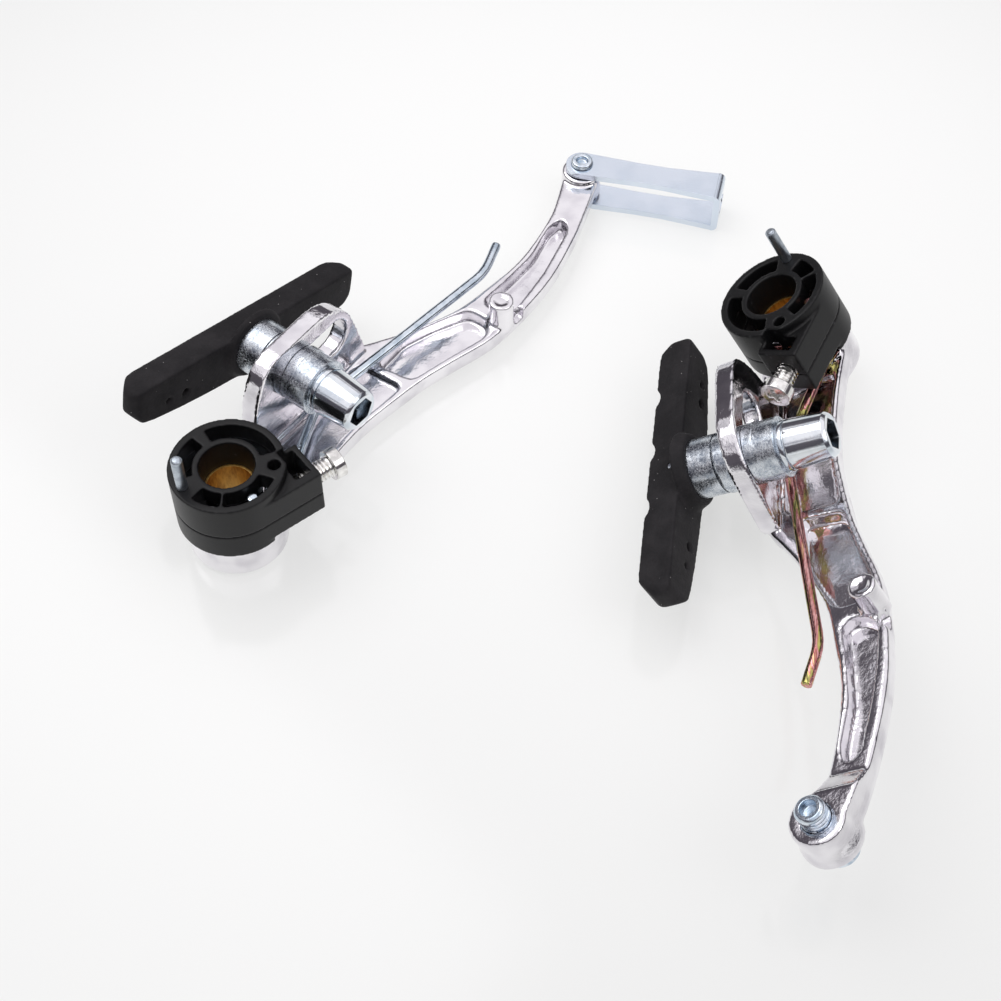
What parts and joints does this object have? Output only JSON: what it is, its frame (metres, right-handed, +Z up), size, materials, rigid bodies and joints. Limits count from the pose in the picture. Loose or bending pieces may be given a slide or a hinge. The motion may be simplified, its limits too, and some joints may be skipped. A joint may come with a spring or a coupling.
{
  "type": "bicycle v brake",
  "caption": "Direct-pull rim brake: arms with pivot bushes, spring cases, threaded pads on dished washers, a cable link and a cable bolt.",
  "frame": {"origin": "the left arm's pivot axis at the foot of its barrel, on the table", "axes": "+Z up along the left pivot axis, towards the bicycle frame; +X to the right of the picture's view, +Y away from the camera"},
  "size_m": [0.1332, 0.1622, 0.0302],
  "materials": {
    "polished_alloy": "polished cast alloy",
    "zinc_plate": "bright zinc plate",
    "bright_nut": "turned and bright zinc plated",
    "link_sheet": "smooth zinc plated sheet",
    "spring_zinc": "zinc plated wire",
    "spring_gold": "iridescent chromated wire",
    "case_plastic": "satin moulded black",
    "brass_bush": "drawn brass",
    "nickel_screw": "nickel plated",
    "pin_steel": "plain dull steel",
    "pad_rubber": "matt moulded"
  },
  "bodies": {
    "root": {"left_arm": "polished_alloy", "left_spring": "spring_zinc", "link_rivet": "zinc_plate", "right_arm": "polished_alloy", "right_spring": "spring_gold", "cable_bolt": "zinc_plate", "cable_washer": "zinc_plate"},
    "left_case": {"left_bush": "brass_bush", "left_spring_cap": "case_plastic", "left_spring_base": "case_plastic", "left_anchor_pin": "pin_steel"},
    "left_tension": {"left_tension_screw": "nickel_screw"},
    "left_domes": {"left_inner_dome": "zinc_plate", "left_outer_dome": "zinc_plate"},
    "left_cups": {"left_inner_cup": "zinc_plate", "left_outer_cup": "zinc_plate", "left_nut": "bright_nut"},
    "left_shoe": {"left_pad": "pad_rubber", "left_post": "zinc_plate"},
    "right_case": {"right_bush": "brass_bush", "right_spring_cap": "case_plastic", "right_spring_base": "case_plastic", "right_anchor_pin": "pin_steel"},
    "right_tension": {"right_tension_screw": "nickel_screw"},
    "right_domes": {"right_inner_dome": "zinc_plate", "right_outer_dome": "zinc_plate"},
    "right_cups": {"right_inner_cup": "zinc_plate", "right_outer_cup": "zinc_plate", "right_nut": "bright_nut"},
    "right_shoe": {"right_pad": "pad_rubber", "right_post": "zinc_plate"},
    "link": {"cable_link": "link_sheet"}
  },
  "joints": [
    {"name": "left_pivot", "type": "hinge", "parent": "root", "child": "left_case", "pos_m": [0, 0, 0.01], "axis": [0, 0, 1], "range_deg": [-15, 10]},
    {"name": "left_tension", "type": "slide", "parent": "left_case", "child": "left_tension", "axis": [0.7902, 0.6129, 0], "range_m": [-0.002, 0.0015]},
    {"name": "left_shoe_height", "type": "slide", "parent": "root", "child": "left_domes", "axis": [0.5906, 0.807, 0], "range_m": [-0.0012, 0.0098]},
    {"name": "left_toe_in", "type": "hinge", "parent": "left_domes", "child": "left_cups", "pos_m": [0.00921, 0.02486, 0.0175], "axis": [0, 0, 1], "range_deg": [-3.4, 8.6]},
    {"name": "left_shoe_swivel", "type": "hinge", "parent": "left_cups", "child": "left_shoe", "pos_m": [0.00921, 0.02486, 0.0175], "axis": [-0.7793, 0.6266, 0], "range_deg": [-90, 90]},
    {"name": "right_pivot", "type": "hinge", "parent": "root", "child": "right_case", "pos_m": [0.10165, 0.03712, 0.01268], "axis": [-0.5155, 0.1217, 0.8482], "range_deg": [0, 20]},
    {"name": "right_tension", "type": "slide", "parent": "right_case", "child": "right_tension", "axis": [-0.4629, -0.8725, -0.1562], "range_m": [-0.002, 0]},
    {"name": "right_shoe_height", "type": "slide", "parent": "root", "child": "right_domes", "axis": [-0.0851, -0.9922, 0.0906], "range_m": [-0.007, 0.0006]},
    {"name": "right_toe_in", "type": "hinge", "parent": "right_domes", "child": "right_cups", "pos_m": [0.08865, 0.00378, 0.01841], "axis": [-0.5155, 0.1217, 0.8482], "range_deg": [-1.6, 10.4]},
    {"name": "right_shoe_swivel", "type": "hinge", "parent": "right_cups", "child": "right_shoe", "pos_m": [0.08865, 0.00378, 0.01841], "axis": [-0.8436, 0.1015, -0.5272], "range_deg": [-90, 90]},
    {"name": "link_hinge", "type": "hinge", "parent": "root", "child": "link", "pos_m": [0.06319, 0.08634, 0.005], "axis": [0, 0, 1], "range_deg": [-60, 160]}
  ]
}
